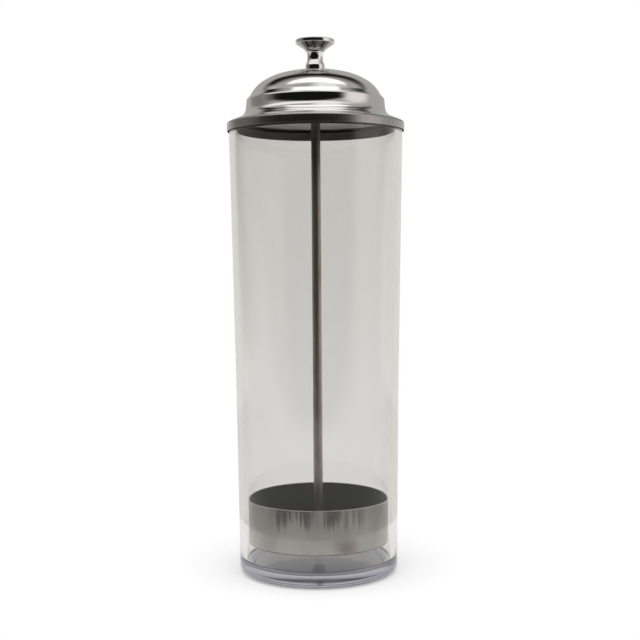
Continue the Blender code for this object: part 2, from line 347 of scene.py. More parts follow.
@dataclass(frozen=True)
class Ramp:
    """A soft change from start to end, while a value goes from low to high."""

    low: float
    high: float
    start: float = 0.0
    end: float = 1.0

    @classmethod
    def up(cls, at: float, soft: float) -> "Ramp":
        """A soft edge from 0 below it to 1 above it."""
        return cls(at - soft, at + soft)

    @classmethod
    def down(cls, at: float, soft: float) -> "Ramp":
        """A soft edge from 1 below it to 0 above it."""
        return cls(at - soft, at + soft, 1.0, 0.0)


class Wiring:
    """A node tree being wired."""

    def __init__(self, tree: bpy.types.NodeTree) -> None:
        """Start on a tree."""
        self.tree = tree

    def fill(self, node: bpy.types.Node, inputs: Inputs) -> None:
        """Feed a node's inputs.

        Args:
            node: The node.
            inputs: An output or a plain value for each, by its name or its place.
        """
        for key, value in inputs.items():
            if isinstance(value, Output):
                self.tree.links.new(value, node.inputs[key])
            else:
                node.inputs[key].default_value = value

    def add(self, kind: str, output: str | int, inputs: Inputs, **settings: object) -> Output:
        """Add a node.

        Args:
            kind: The node's type.
            output: The name or the place of the output that is wanted.
            inputs: What its inputs are fed, as in fill.
            settings: The node's settings.

        Returns:
            The output.
        """
        node = self.tree.nodes.new("ShaderNode" + kind)
        for key, value in settings.items():
            setattr(node, key, value)
        self.fill(node, inputs)
        return node.outputs[output]

    def maths(self, operation: str, *values: object) -> Output:
        """A Math node's result for outputs or plain values."""
        return self.add("Math", "Value", dict(enumerate(values)), operation=operation)

    def most(self, *values: object) -> Output:
        """The greatest of some values."""
        return reduce(partial(self.maths, "MAXIMUM"), values)

    def product(self, *values: object) -> Output:
        """The product of some values."""
        return reduce(partial(self.maths, "MULTIPLY"), values)

    def length(self, *ways: Output) -> Output:
        """The length of two ways that are square to each other."""
        return self.maths("SQRT", self.maths("ADD", *(self.product(way, way) for way in ways)))

    def seen(self) -> Output:
        """A value that is 1 for the rays that show the background."""
        path = self.add("LightPath", "Is Camera Ray", {}).node.outputs
        return self.most(*map(path.get, ("Is Camera Ray", "Is Glossy Ray", "Is Transmission Ray")))

    def show(self, share: Output, first: Output, second: Output, output: str = OUTPUT) -> None:
        """Let the tree's output show two shaders mixed, the second by its share."""
        mix = self.add("MixShader", "Shader", {0: share, 1: first, 2: second})
        self.fill(self.tree.nodes[output], {"Surface": mix})


class Pattern(Wiring):
    """A Principled material being wired, its marks placed by Object coordinates."""

    def __init__(self, name: str) -> None:
        """Start a material.

        Args:
            name: The material's name.
        """
        self.material = bpy.data.materials.new(name)
        self.material.use_nodes = True
        super().__init__(self.material.node_tree)
        self.shader = self.tree.nodes["Principled BSDF"]
        self.place = self.add("TexCoord", "Object", {})

    def split(self, vector: Output) -> list[Output]:
        """The X, Y and Z of a vector."""
        return list(self.add("SeparateXYZ", "X", {"Vector": vector}).node.outputs)

    @cached_property
    def parts(self) -> list[Output]:
        """The place's X, Y and Z."""
        return self.split(self.place)

    @cached_property
    def height(self) -> Output:
        """The place's height."""
        return self.parts[2]

    @cached_property
    def radius(self) -> Output:
        """The place's distance from the Z axis."""
        return self.length(*self.parts[:2])

    @cached_property
    def safe_radius(self) -> Output:
        """The same, kept above 0 to divide by."""
        return self.most(self.radius, NEAR_AXIS)

    def drive(self, socket: Socket, value: Output) -> None:
        """Let a pattern drive one of the shader's sockets."""
        self.fill(self.shader, {socket.value: value})

    def mapped(self, kind: str = "POINT", **inputs: Place) -> Output:
        """The place put through a Mapping node."""
        return self.add("Mapping", "Vector", {"Vector": self.place, **inputs}, vector_type=kind)

    def followed(self, around: float, outwards: float, upwards: float) -> Output:
        """The place as a turned surface has it.

        Args:
            around: How fast it changes round the axis.
            outwards: How fast it changes away from the axis.
            upwards: How fast it changes upwards.

        Returns:
            The place.
        """
        ways = (self.maths("DIVIDE", way, self.safe_radius) for way in self.parts[:2])
        x, y = (self.product(way, around) for way in ways)
        up = self.maths("ADD", self.product(self.radius, outwards), self.product(self.height, upwards))
        return self.add("CombineXYZ", "Vector", {0: x, 1: y, 2: up})

    def spread(self, value: Output, ramp: Ramp) -> Output:
        """What a ramp makes of a value."""
        ends = {"From Min": ramp.low, "From Max": ramp.high, "To Min": ramp.start, "To Max": ramp.end}
        return self.add("MapRange", "Result", {"Value": value} | ends, interpolation_type=RAMP_KIND)

    def blend(self, share: Output, first: object, second: object) -> Output:
        """Mix two colours, each an output or a plain colour.

        Args:
            share: The second colour's share.
            first: The first colour.
            second: The second colour.

        Returns:
            The mix.
        """
        plain = [c if isinstance(c, Output) else (*c, 1) for c in (first, second)]
        inputs = {"Factor": share} | dict(zip(MIX_COLOURS, plain, strict=True))
        return self.add("Mix", MIX_RESULT, inputs, data_type="RGBA")

    def oval(self, ways: Iterable[Output], middle: Point, half: Point, soft: float) -> Output:
        """A share that is 1 inside a soft-edged oval and 0 outside.

        Args:
            ways: The place across it and along it.
            middle: Where its middle lies.
            half: Half its width and half its length.
            soft: How far its soft edge goes to either side, as a share of the half.

        Returns:
            The share.
        """
        offsets = (
            self.maths("DIVIDE", self.maths("SUBTRACT", way, at), size)
            for way, at, size in zip(ways, middle, half, strict=True)
        )
        return self.spread(self.length(*offsets), Ramp.down(1.0, soft))


@dataclass(frozen=True)
class Cloud:
    """A soft random value from 0 to 1, drawn out upwards where its rise is under 1.

    Where it has speeds round, outwards and upwards, it follows a turned surface with no seam.
    """

    scale: float
    detail: float
    roughness: float
    rise: float = 1.0
    speeds: Place | None = None

    def on(self, pattern: Pattern) -> Output:
        """Wire the value on a material.

        Args:
            pattern: The material.

        Returns:
            The value.
        """
        if self.speeds is None:
            place = pattern.mapped(Scale=(1.0, 1.0, self.rise))
        else:
            place = pattern.followed(*self.speeds)
        inputs = {"Scale": self.scale, "Detail": self.detail, "Roughness": self.roughness}
        return pattern.add("TexNoise", "Fac", {"Vector": place} | inputs)


def swirl(around: float, outwards: float, upwards: float, detail: float, roughness: float) -> Cloud:
    """A cloud that follows a turned surface, at the scale of its own speeds."""
    return Cloud(1.0, detail, roughness, speeds=(around, outwards, upwards))


@dataclass(frozen=True)
class Relief:
    """A random relief, with its strength and its depth in metres."""

    cloud: Cloud
    strength: float
    depth: float

    def drive(self, pattern: Pattern) -> None:
        """Let the relief drive the shader's normal.

        Args:
            pattern: The material being wired.
        """
        sizes = {"Strength": self.strength, "Distance": self.depth}
        bump = pattern.add("Bump", "Normal", sizes | {"Height": self.cloud.on(pattern)})
        pattern.drive(Socket.NORMAL, bump)


@dataclass(frozen=True)
class ClearAcrylic:
    """Clear moulded acrylic with painted grey shade on its outer face, painted shade under its floor,
    and a violet, scuffed foot.
    """

    clear: Colour = (0.97, 0.97, 0.965)
    # Painted grey shade on the outer face, for the backdrop seen through the jar, darker towards the
    # mouth
    low_painted_backdrop: Colour = (0.738, 0.731, 0.708)
    mouth_painted_backdrop: Colour = (0.660, 0.640, 0.612)
    painted_backdrop_fade: Ramp = Ramp(0.03, 0.20)
    painted_backdrop_slope: float = 0.0152
    painted_backdrop_edge: Ramp = Ramp.up(0.0394, 0.0004)
    foot_tint: Colour = (0.345, 0.336, 0.40)
    foot_edge: Ramp = Ramp.down(0.0062, 0.0030)
    under_top: float = 0.0012
    # Painted reflection of the tray's dark underside and painted shadow of the tray, on the middle of
    # the underside
    floor_painted_shade: Colour = (0.095, 0.096, 0.122)
    floor_edge: Ramp = Ramp(0.024, 0.040, 1.0, 0.0)
    # The moulding gate, near black: partly the gate's own colour, partly a painted reflection of the
    # cap nut
    gate: Colour = (0.05, 0.05, 0.06)
    gate_edge: Ramp = Ramp(0.0026, 0.0030, 1.0, 0.0)
    fleck: Colour = (0.06, 0.058, 0.075)
    fleck_place: Point = (0.0006, 0.0034)
    fleck_reach: Point = (0.0017, 0.0011)
    fleck_soft: float = 0.35
    fleck_front: float = -0.030
    index: float = 1.49
    smears: Cloud = Cloud(38.0, 5.0, 0.62, 0.45)
    smear_roughness: Ramp = Ramp(0.56, 0.78, 0.0, 0.045)
    scuffs: Cloud = swirl(9.0, 900.0, 900.0, 4.0, 0.6)
    scuff_edge: Ramp = Ramp.down(0.0046, 0.0016)
    scuff_roughness: Ramp = Ramp(0.30, 0.70, 0.06, 0.10)
    ripple: Relief = Relief(Cloud(55.0, 1.0, 0.4, 0.25), 0.35, 0.00006)

    def tint(self, pattern: Pattern) -> Output:
        """Paint grey shade on the outer face, tint the foot, paint shade and a reflection under the
        floor, and leave the inner face clear.

        Args:
            pattern: The material being wired.

        Returns:
            The colour.
        """
        z, radius = pattern.height, pattern.radius
        # Painted grey shade on the outer face, darker towards the mouth
        faded = pattern.spread(z, self.painted_backdrop_fade)
        painted_backdrop = pattern.blend(faded, self.low_painted_backdrop, self.mouth_painted_backdrop)
        past = pattern.maths("SUBTRACT", radius, pattern.product(z, self.painted_backdrop_slope))
        colour = pattern.blend(pattern.spread(past, self.painted_backdrop_edge), self.clear, painted_backdrop)
        colour = pattern.blend(pattern.spread(z, self.foot_edge), colour, self.foot_tint)
        # Painted shade and reflection on the middle of the underside, and the gate darkened
        under = pattern.maths("LESS_THAN", z, self.under_top)
        for edge, tint in ((self.floor_edge, self.floor_painted_shade), (self.gate_edge, self.gate)):
            share = pattern.product(pattern.spread(radius, edge), under)
            colour = pattern.blend(share, colour, tint)
        fleck = pattern.oval(pattern.parts[::2], self.fleck_place, self.fleck_reach, self.fleck_soft)
        front = pattern.maths("LESS_THAN", pattern.parts[1], self.fleck_front)
        return pattern.blend(pattern.product(fleck, front), colour, self.fleck)

    def make(self) -> bpy.types.Material:
        """Wire the material.

        Returns:
            The material.
        """
        pattern = Pattern(Slot.CLEAR_ACRYLIC.value)
        clear = {"Transmission Weight": 1.0, "IOR": self.index, "Metallic": 0.0}
        pattern.fill(pattern.shader, clear)
        pattern.drive(Socket.COLOUR, self.tint(pattern))
        film = pattern.spread(self.smears.on(pattern), self.smear_roughness)
        scuffed = pattern.product(
            pattern.spread(pattern.height, self.scuff_edge),
            pattern.spread(self.scuffs.on(pattern), self.scuff_roughness),
        )
        pattern.drive(Socket.ROUGHNESS, pattern.most(film, scuffed))
        self.ripple.drive(pattern)
        return pattern.material


@dataclass(frozen=True)
class ChromePlate:
    """Chrome plate over polished sheet or bar: wiped smears and rings of polishing.

    Below an edge the plate is worn dull, with an upright grain from fingers and the jar, and
    between two heights it is painted darker as shade. The inner side is unplated
    satin sheet, gone dull, with painted shade where it sits over the jar's mouth.
    """

    slot: Slot = Slot.CHROME_PLATE
    colour: Colour = (0.80, 0.795, 0.78)
    smeared: Colour = (0.71, 0.705, 0.695)
    smears: Cloud = Cloud(70.0, 6.0, 0.6)
    smear_share: Ramp = Ramp(0.50, 0.72)
    roughness: Ramp = Ramp(0.42, 0.75, 0.055, 0.15)
    worn: Colour = (0.36, 0.345, 0.33)
    worn_below: float = 0.0
    worn_soft: float = 0.0005
    worn_roughness: float = 0.36
    grain: Cloud = swirl(150.0, 0.0, 60.0, 4.0, 0.65)
    grain_share: Ramp = Ramp(0.25, 0.72, 1.0, 0.72)
    # Painted shade in a band between two heights, with soft edges
    in_painted_shade: Colour = (0.36, 0.355, 0.35)
    painted_shade_reach: Point = (0.0, 0.0)
    painted_shade_soft: float = 0.0004
    unplated: Colour = (0.86, 0.85, 0.82)
    unplated_roughness: float = 0.50
    unplated_metal: Ramp = Ramp(0.0, 1.0, 1.0, 0.08)
    # Painted shade on the unplated underside where it sits over the jar's mouth
    seat_painted_shade: Colour = (0.15, 0.15, 0.146)
    seat_edge: Ramp = Ramp.up(0.0408, 0.0006)
    rings: Relief = Relief(swirl(1.2, 2600.0, 2600.0, 2.0, 0.5), 0.5, 0.0000012)

    def make(self) -> bpy.types.Material:
        """Wire the material.

        Returns:
            The material.
        """
        pattern = Pattern(self.slot.value)
        z = pattern.height
        smears = self.smears.on(pattern)
        worn = pattern.product(
            pattern.spread(z, Ramp.down(self.worn_below, self.worn_soft)),
            pattern.spread(self.grain.on(pattern), self.grain_share),
        )
        # painted shade in the band between two heights
        low, high = self.painted_shade_reach
        in_painted_shade = pattern.product(
            pattern.spread(z, Ramp.up(low, self.painted_shade_soft)),
            pattern.spread(z, Ramp.down(high, self.painted_shade_soft)),
        )
        plate = pattern.blend(pattern.spread(smears, self.smear_share), self.colour, self.smeared)
        plate = pattern.blend(in_painted_shade, plate, self.in_painted_shade)
        plate = pattern.blend(worn, plate, self.worn)
        inner = pattern.add("Attribute", "Fac", {}, attribute_name=INNER_MARK)
        # painted shade on the underside where it sits over the jar's mouth
        seat = pattern.spread(pattern.radius, self.seat_edge)
        unplated = pattern.blend(seat, self.unplated, self.seat_painted_shade)
        pattern.drive(Socket.COLOUR, pattern.blend(inner, plate, unplated))
        clean = pattern.spread(smears, self.roughness)
        dull = pattern.product(worn, self.worn_roughness)
        satin = pattern.product(inner, self.unplated_roughness)
        pattern.drive(Socket.ROUGHNESS, pattern.most(clean, dull, satin))
        pattern.drive(Socket.METALLIC, pattern.spread(inner, self.unplated_metal))
        self.rings.drive(pattern)
        return pattern.material


@dataclass(frozen=True)
class MottledMetal:
    """Metal with dull patches and a fine relief, and painted shade in the reach of a ramp, if it has
    one.

    Its roughness follows the patches, or the share of dull colour where it is stepped.
    """

    slot: Slot
    colour: Colour
    dulled: Colour
    patches: Cloud
    dull_share: Ramp
    roughness: Ramp
    relief: Relief
    stepped: bool = False
    # Painted shade where a ramp over the height reaches, if one is given
    in_painted_shade: Colour = (0.0, 0.0, 0.0)
    painted_shade_reach: Ramp | None = None

    def make(self) -> bpy.types.Material:
        """Wire the material.

        Returns:
            The material.
        """
        pattern = Pattern(self.slot.value)
        pattern.fill(pattern.shader, {"Metallic": 1.0})
        patches = self.patches.on(pattern)
        share = pattern.spread(patches, self.dull_share)
        colour = pattern.blend(share, self.colour, self.dulled)
        # painted shade where the ramp reaches
        if self.painted_shade_reach is not None:
            colour = pattern.blend(pattern.spread(pattern.height, self.painted_shade_reach), colour, self.in_painted_shade)
        pattern.drive(Socket.COLOUR, colour)
        rough = pattern.spread(share if self.stepped else patches, self.roughness)
        pattern.drive(Socket.ROUGHNESS, rough)
        self.relief.drive(pattern)
        return pattern.material


# Bright drawn bar: fine grain along its length, dulled by handling, with a painted shadow of the lid
# over its top
DRAWN_STEEL = MottledMetal(
    slot=Slot.ROD_STEEL,
    colour=(0.58, 0.555, 0.52),
    dulled=(0.46, 0.435, 0.40),
    in_painted_shade=(0.25, 0.235, 0.21),
    painted_shade_reach=Ramp(0.190, 0.224),
    patches=Cloud(160.0, 5.0, 0.6, 0.35),
    dull_share=Ramp(0.40, 0.70),
    roughness=Ramp(0.35, 0.75, 0.36, 0.48),
    relief=Relief(swirl(26.0, 0.0, 9.0, 3.0, 0.6), 0.6, 0.000004),
)

# Pressed steel sheet left as it came from the die: dull, with rings and dark smears
PRESSED_STEEL = MottledMetal(
    slot=Slot.RING_STEEL,
    colour=(0.25, 0.25, 0.25),
    dulled=(0.21, 0.21, 0.215),
    patches=swirl(1.6, 420.0, 420.0, 3.0, 0.5),
    dull_share=Ramp(0.35, 0.70),
    roughness=Ramp(0.35, 0.75, 0.32, 0.37),
    relief=Relief(swirl(1.5, 1500.0, 1500.0, 2.0, 0.5), 0.5, 0.000004),
)

# Tarnished zinc plate on the small fasteners, a little blue, with dull finger marks
ZINC_PLATE = MottledMetal(
    slot=Slot.ZINC_PLATE,
    colour=(0.17, 0.171, 0.176),
    dulled=(0.12, 0.12, 0.119),
    patches=Cloud(700.0, 4.0, 0.6),
    dull_share=Ramp(0.42, 0.68),
    roughness=Ramp(0.0, 1.0, 0.28, 0.40),
    relief=Relief(Cloud(5200.0, 2.0, 0.5), 0.3, 0.000004),
    stepped=True,
)

# The knob's brighter, smoother plate, with painted shade in the hollow under its head
KNOB_CHROME = ChromePlate(
    slot=Slot.CHROME_KNOB,
    colour=(0.84, 0.835, 0.83),
    roughness=Ramp(0.42, 0.75, 0.03, 0.07),
    painted_shade_reach=(0.2666, 0.2709),
    rings=Relief(swirl(1.2, 2600.0, 2600.0, 2.0, 0.5), 0.5, 0.0000006),
)


@dataclass(frozen=True)
class Clump:
    """A clump of runs: its bearing and reach in degrees from the front, and its strength."""

    bearing: float
    reach: float
    strength: float
    core: float = 0.55
    margin: float = 1.25

    def share(self, pattern: Pattern) -> Output:
        """Where the clump lies round the axis.

        Args:
            pattern: The material being wired.

        Returns:
            A share that is the clump's strength in its middle and 0 past its soft ends.
        """
        x, y, _ = pattern.parts
        turn = math.radians(self.bearing)
        forwards = pattern.maths(
            "ADD", pattern.product(x, math.sin(turn)), pattern.product(y, -math.cos(turn))
        )
        end, middle = (math.cos(math.radians(self.reach * far)) for far in (self.margin, self.core))
        facing = pattern.maths("DIVIDE", forwards, pattern.safe_radius)
        return pattern.spread(facing, Ramp(end, middle, 0.0, self.strength))


@dataclass(frozen=True)
class StainedSteel:
    """The tray's satin steel: dark runs under the lip, a tea stain, an inside painted near black as
    shade, and a painted highlight on the lip.
    """

    colour: Colour = (0.50, 0.485, 0.46)
    cloudy: Colour = (0.40, 0.385, 0.365)
    clouds: Cloud = Cloud(62.0, 5.0, 0.6, 0.6)
    cloud_share: Ramp = Ramp(0.38, 0.70)
    roughness: Ramp = Ramp(0.0, 1.0, 0.30, 0.42)
    # The inside of the cup, painted near black, dull and unmetallic as shade
    inside: Colour = (0.040, 0.043, 0.036)
    inside_roughness: float = 0.70
    inside_metal: Ramp = Ramp(0.0, 1.0, 1.0, 0.0)
    inner_edge: Ramp = Ramp(0.0359, 0.03615, 1.0, 0.0)
    floor_edge: Ramp = Ramp.up(0.0161, 0.0003)
    # Painted highlight along the lip
    painted_lip_highlight: Colour = (0.80, 0.79, 0.77)
    lip_edge: Ramp = Ramp.up(0.0380, 0.0002)
    run: Colour = (0.17, 0.168, 0.155)
    clumps: tuple[Clump, ...] = (
        Clump(-20.0, 18.0, 1.0),
        Clump(11.0, 7.0, 1.0),
        Clump(28.0, 9.0, 0.6),
        Clump(104.0, 16.0, 0.9),
        Clump(165.0, 22.0, 0.8),
        Clump(-110.0, 26.0, 1.0),
    )
    runs: Cloud = swirl(26.0, 0.0, 18.0, 5.0, 0.65)
    run_lengths: Ramp = Ramp(0.32, 0.64, -0.60, 0.35)
    run_fall: Ramp = Ramp(0.0230, 0.0376)
    run_edge: Ramp = Ramp(0.25, 0.95)
    stain: Colour = (0.25, 0.205, 0.19)
    stain_place: Place = (0.0135, -0.0338, 0.0196)
    stain_reach: Place = (0.0085, 0.0070, 0.0052)
    stain_ragged: Cloud = Cloud(300.0, 6.0, 0.75)
    stain_edge: Ramp = Ramp(0.60, 1.65, 0.8, 0.0)
    grain: Relief = Relief(swirl(90.0, 240.0, 14.0, 3.0, 0.6), 0.5, 0.000004)

    def stained(self, pattern: Pattern) -> Output:
        """Where the stain lies.

        Args:
            pattern: The material being wired.

        Returns:
            A share that is greatest in the stain's middle and 0 past its ragged edge.
        """
        place = pattern.mapped("TEXTURE", Location=self.stain_place, Scale=self.stain_reach)
        length = pattern.add("VectorMath", "Value", {0: place}, operation="LENGTH")
        ragged = pattern.maths("ADD", length, self.stain_ragged.on(pattern))
        return pattern.spread(ragged, self.stain_edge)

    def run_share(self, pattern: Pattern) -> Output:
        """Where dark runs hang from the lip in clumps, some longer than others.

        Args:
            pattern: The material being wired.

        Returns:
            A share that is 1 in a run and 0 between runs and below them.
        """
        ragged = pattern.maths(
            "ADD",
            pattern.spread(pattern.height, self.run_fall),
            pattern.spread(self.runs.on(pattern), self.run_lengths),
        )
        clumped = pattern.most(*(clump.share(pattern) for clump in self.clumps))
        return pattern.product(pattern.spread(ragged, self.run_edge), clumped)

    def make(self) -> bpy.types.Material:
        """Wire the material.

        Returns:
            The material.
        """
        pattern = Pattern(Slot.TRAY_STEEL.value)
        pattern.fill(pattern.shader, {"Specular IOR Level": 0.0})
        runs, stained = self.run_share(pattern), self.stained(pattern)
        # the inside of the cup, painted near black as shade
        inside = pattern.product(
            pattern.spread(pattern.radius, self.inner_edge),
            pattern.spread(pattern.height, self.floor_edge),
        )
        clouds = pattern.spread(self.clouds.on(pattern), self.cloud_share)
        colour = pattern.blend(clouds, self.colour, self.cloudy)
        # the lip, painted brighter as a highlight
        lip = pattern.spread(pattern.height, self.lip_edge)
        for share, tint in (
            (runs, self.run), (stained, self.stain), (inside, self.inside), (lip, self.painted_lip_highlight)
        ):
            colour = pattern.blend(share, colour, tint)
        pattern.drive(Socket.COLOUR, colour)
        dulled = pattern.spread(pattern.most(runs, stained), self.roughness)
        in_painted_shade = pattern.product(inside, self.inside_roughness)
        pattern.drive(Socket.ROUGHNESS, pattern.most(dulled, in_painted_shade))
        pattern.drive(Socket.METALLIC, pattern.spread(inside, self.inside_metal))
        self.grain.drive(pattern)
        return pattern.material


class Assembly:
    """A sub-assembly whose pieces ride on one body and share one finish."""

    body: ClassVar[Body]
    slot: ClassVar[Slot]

    def build(self) -> list[Piece]:
        """Model the pieces."""
        raise NotImplementedError

    def dress(self, material: bpy.types.Material) -> int:
        """Model and dress the pieces, each riding in the place of the solid of its name.

        Args:
            material: Their material.

        Returns:
            How many there are.
        """
        pieces = self.build()
        for piece in pieces:
            piece.data.materials.clear()
            piece.data.materials.append(material)
            node = piece.name.removesuffix(FINE_SUFFIX)
            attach(piece, self.body.value)
            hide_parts(node)
            LOG.info("%s: %d faces, on %s", piece.name, len(piece.data.polygons), self.body.value)
        return len(pieces)


class Turned(Assembly):
    """One turned piece, pressed from sheet where it has a sheet's thickness."""

    node: ClassVar[str]
    segments: ClassVar[int] = LARGE_SEGMENTS
    sheet: float = 0.0
    broken_edge: Edge = (0.00012, 2)

    @cached_property
    def box(self) -> tuple[Vector, Vector]:
        """The low and the high corner of the solid that it stands for."""
        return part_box(self.node)

    def outline(self) -> list[Point]:
        """Its section, or the outer face of its sheet, as radii and heights."""
        raise NotImplementedError

    def build(self) -> list[Piece]:
        """Turn the piece, and give sheet its thickness and its broken edges.

        Returns:
            The piece, in a list.
        """
        piece = turned(self.node, self.outline(), self.segments)
        if self.sheet:
            modified(piece, "SOLIDIFY", thickness=self.sheet, offset=-1, use_even_offset=True)
            eased(piece, self.broken_edge, SHEET_EDGE)
        return [shaded(piece)]


@dataclass
class Jar(Turned):
    """The clear jar: thick floor, flared wall, rounded lip, foot ring and moulding gate."""

    body = Body.JAR
    slot = Slot.CLEAR_ACRYLIC
    node = "jar"

    wall: float = 0.0036
    floor: float = 0.0060
    flare: float = 0.0035
    flare_curve: float = 1.4
    flare_steps: int = 26
    foot_round: float = 0.0040
    inner_round: float = 0.0028
    lip_round: float = 0.0009
    ring_width: float = 0.0032
    recess: float = 0.0008
    recess_round: float = 0.0004
    gate_radius: float = 0.0026
    gate_height: float = 0.0006
    gate_round: float = 0.0002

    def radius(self, height: float) -> float:
        """The outer radius at a height."""
        mouth, _, top = self.box[1]
        return mouth - self.flare + self.flare * (height / top) ** self.flare_curve

    def side(self, low: float, high: float, inset: float) -> list[Point]:
        """Points up the flared wall between two heights, an inset in from its outer face."""
        heights = [low + (high - low) * i / self.flare_steps for i in range(1, self.flare_steps)]
        return [(self.radius(z) - inset, z) for z in heights]

    def outline(self) -> list[Point]:
        """Draw the jar's section, from the middle of its floor round to the middle of its foot.

        Returns:
            The points.
        """
        lip = self.box[1].z - self.lip_round
        inner_edge, outer_edge = self.radius(lip) - self.wall, self.radius(lip)
        inner = self.floor + self.inner_round
        inner_corner = (self.radius(self.floor) - self.wall - self.inner_round, inner)
        foot = (self.radius(self.foot_round) - self.foot_round, self.foot_round)
        recess = foot[0] - self.ring_width
        gate = self.recess - self.gate_height
        return [
            (0, self.floor),
            *arc_points(inner_corner, self.inner_round, -QUARTER, QUARTER),
            *self.side(inner, lip, self.wall),
            *arc_points((inner_edge + self.lip_round, lip), self.lip_round, math.pi, -QUARTER),
            *arc_points((outer_edge - self.lip_round, lip), self.lip_round, QUARTER, -QUARTER),
            *reversed(self.side(self.foot_round, lip, 0)),
            *arc_points(foot, self.foot_round, 0, -QUARTER),
            *rounded(
                Corner(recess, 0),
                Corner(recess - self.recess, self.recess, self.recess_round),
                Corner(self.gate_radius, self.recess, self.gate_round),
                Corner(self.gate_radius, gate, self.gate_round),
                Corner(0, gate),
            ),
        ]


@dataclass
class Dome(Turned):
    """The lid's pressed dome: crown, step, belly, flange and turned-down rim band."""

    body = Body.LID
    slot = Slot.CHROME_PLATE
    node = "lid_dome"

    sheet: float = 0.0005
    rod_hole: float = 0.0022
    band: float = 0.0043
    rim_round: float = 0.0013
    flange_width: float = 0.0090
    flange_drop: float = 0.0037
    foot_round: float = 0.0056
    wall_flare: float = 0.0010
    belly_share: float = 0.46
    belly: float = -0.00022
    belly_round: float = 0.0140
    shoulder_round: float = 0.0017
    step_width: float = 0.0019
    step_drop: float = 0.0022
    step_round: float = 0.0008
    crown_height: float = 0.01295
    crown_shares: tuple[Corner, ...] = (
        Corner(0.282, 1.0, 1.257),
        Corner(0.661, 0.772, 0.856),
        Corner(0.872, 0.448, 0.44),
        Corner(0.957, 0.193, 0.46),
    )

    def rim_corner(self) -> float:
        """The height of the rim band's upper edge."""
        return self.box[0].z + self.band

    def outline(self) -> list[Point]:
        """Draw the dome's outer face, from the rod's hole down to the rim band's edge.

        Returns:
            The points.
        """
        low, high = self.box
        rim, crown = high.x, high.z
        wall_foot = rim - self.flange_width
        wall_head = wall_foot - self.wall_flare
        reach = wall_head - self.step_width
        step = crown - self.crown_height
        shoulder = step - self.step_drop
        foot = self.rim_corner() + self.flange_drop
        return rounded(
            Corner(self.rod_hole, crown),
            *(
                Corner(reach * at.radius, step + self.crown_height * at.height, reach * at.round)
                for at in self.crown_shares
            ),
            Corner(reach, step, self.step_round),
            Corner(wall_head, shoulder, self.shoulder_round),
            Corner(
                wall_foot - self.wall_flare * (1 - self.belly_share) + self.belly,
                shoulder + (foot - shoulder) * self.belly_share,
                self.belly_round,
            ),
            Corner(wall_foot, foot, self.foot_round),
            Corner(rim, self.rim_corner(), self.rim_round),
            Corner(rim, low.z),
        )

    def build(self) -> list[Piece]:
        """Press the dome, and mark its underside and inner walls for its finish to read.

        Returns:
            The piece, in a list.
        """
        (piece,) = super().build()
        marks = piece.data.attributes.new(INNER_MARK, "FLOAT", "FACE").data
        for face, mark in zip(piece.data.polygons, marks, strict=True):
            outwards = Vector((face.center.x, face.center.y, 0.0)).normalized()
            mark.value = float(face.normal.dot(outwards) + face.normal.z < 0)
        return [piece]


@dataclass
class PlugRing(Turned):
    """The plug ring under the lid: a flange on the jar's mouth and a skirt inside it."""

    body = Body.LID
    slot = Slot.RING_STEEL
    node = "lid_plug_ring"

    sheet: float = 0.0005
    bend: float = 0.0009
    skirt_inset: float = 0.0034

    def outline(self) -> list[Point]:
        """Draw the ring's upper face, from the flange's rim down the skirt.

        Returns:
            The points.
        """
        low, high = self.box
        skirt = high.x - self.skirt_inset
        corners = Corner(high.x, high.z), Corner(skirt, high.z, self.bend), Corner(skirt, low.z)
        return rounded(*corners)


@dataclass
class Knob(Turned):
    """The turned knob: low crown, upright edge, flare, waist and a soft collar, bored for the rod."""

    body = Body.LID
    slot = Slot.CHROME_KNOB
    node = "knob"
    segments = MEDIUM_SEGMENTS

    crown: float = 0.0006
    edge: float = 0.0019
    edge_round: float = 0.00045
    throat: float = 0.0048
    throat_height: float = 0.0100
    flare_round: float = 0.0048
    waist: float = 0.0036
    waist_height: float = 0.0056
    waist_round: float = 0.0060
    collar: float = 0.00482
    collar_height: float = 0.0024
    collar_round: float = 0.0016
    foot_round: float = 0.0004
    bore: float = 0.00215
    bore_depth: float = 0.0082

    def outline(self) -> list[Point]:
        """Draw the knob's section, from the crown's middle down to the end of its bore.

        Returns:
            The points.
        """
        low, high = self.box
        head, top, foot = high.x, high.z, low.z
        return rounded(
            Corner(0, top),
            Corner(head, top - self.crown, self.edge_round),
            Corner(head, top - self.crown - self.edge, self.edge_round),
            Corner(self.throat, foot + self.throat_height, self.flare_round),
            Corner(self.waist, foot + self.waist_height, self.waist_round),
            Corner(self.collar, foot + self.collar_height, self.collar_round),
            Corner(self.collar, foot, self.foot_round),
            Corner(self.bore, foot),
            Corner(self.bore, foot + self.bore_depth),
            Corner(0, foot + self.bore_depth),
        )


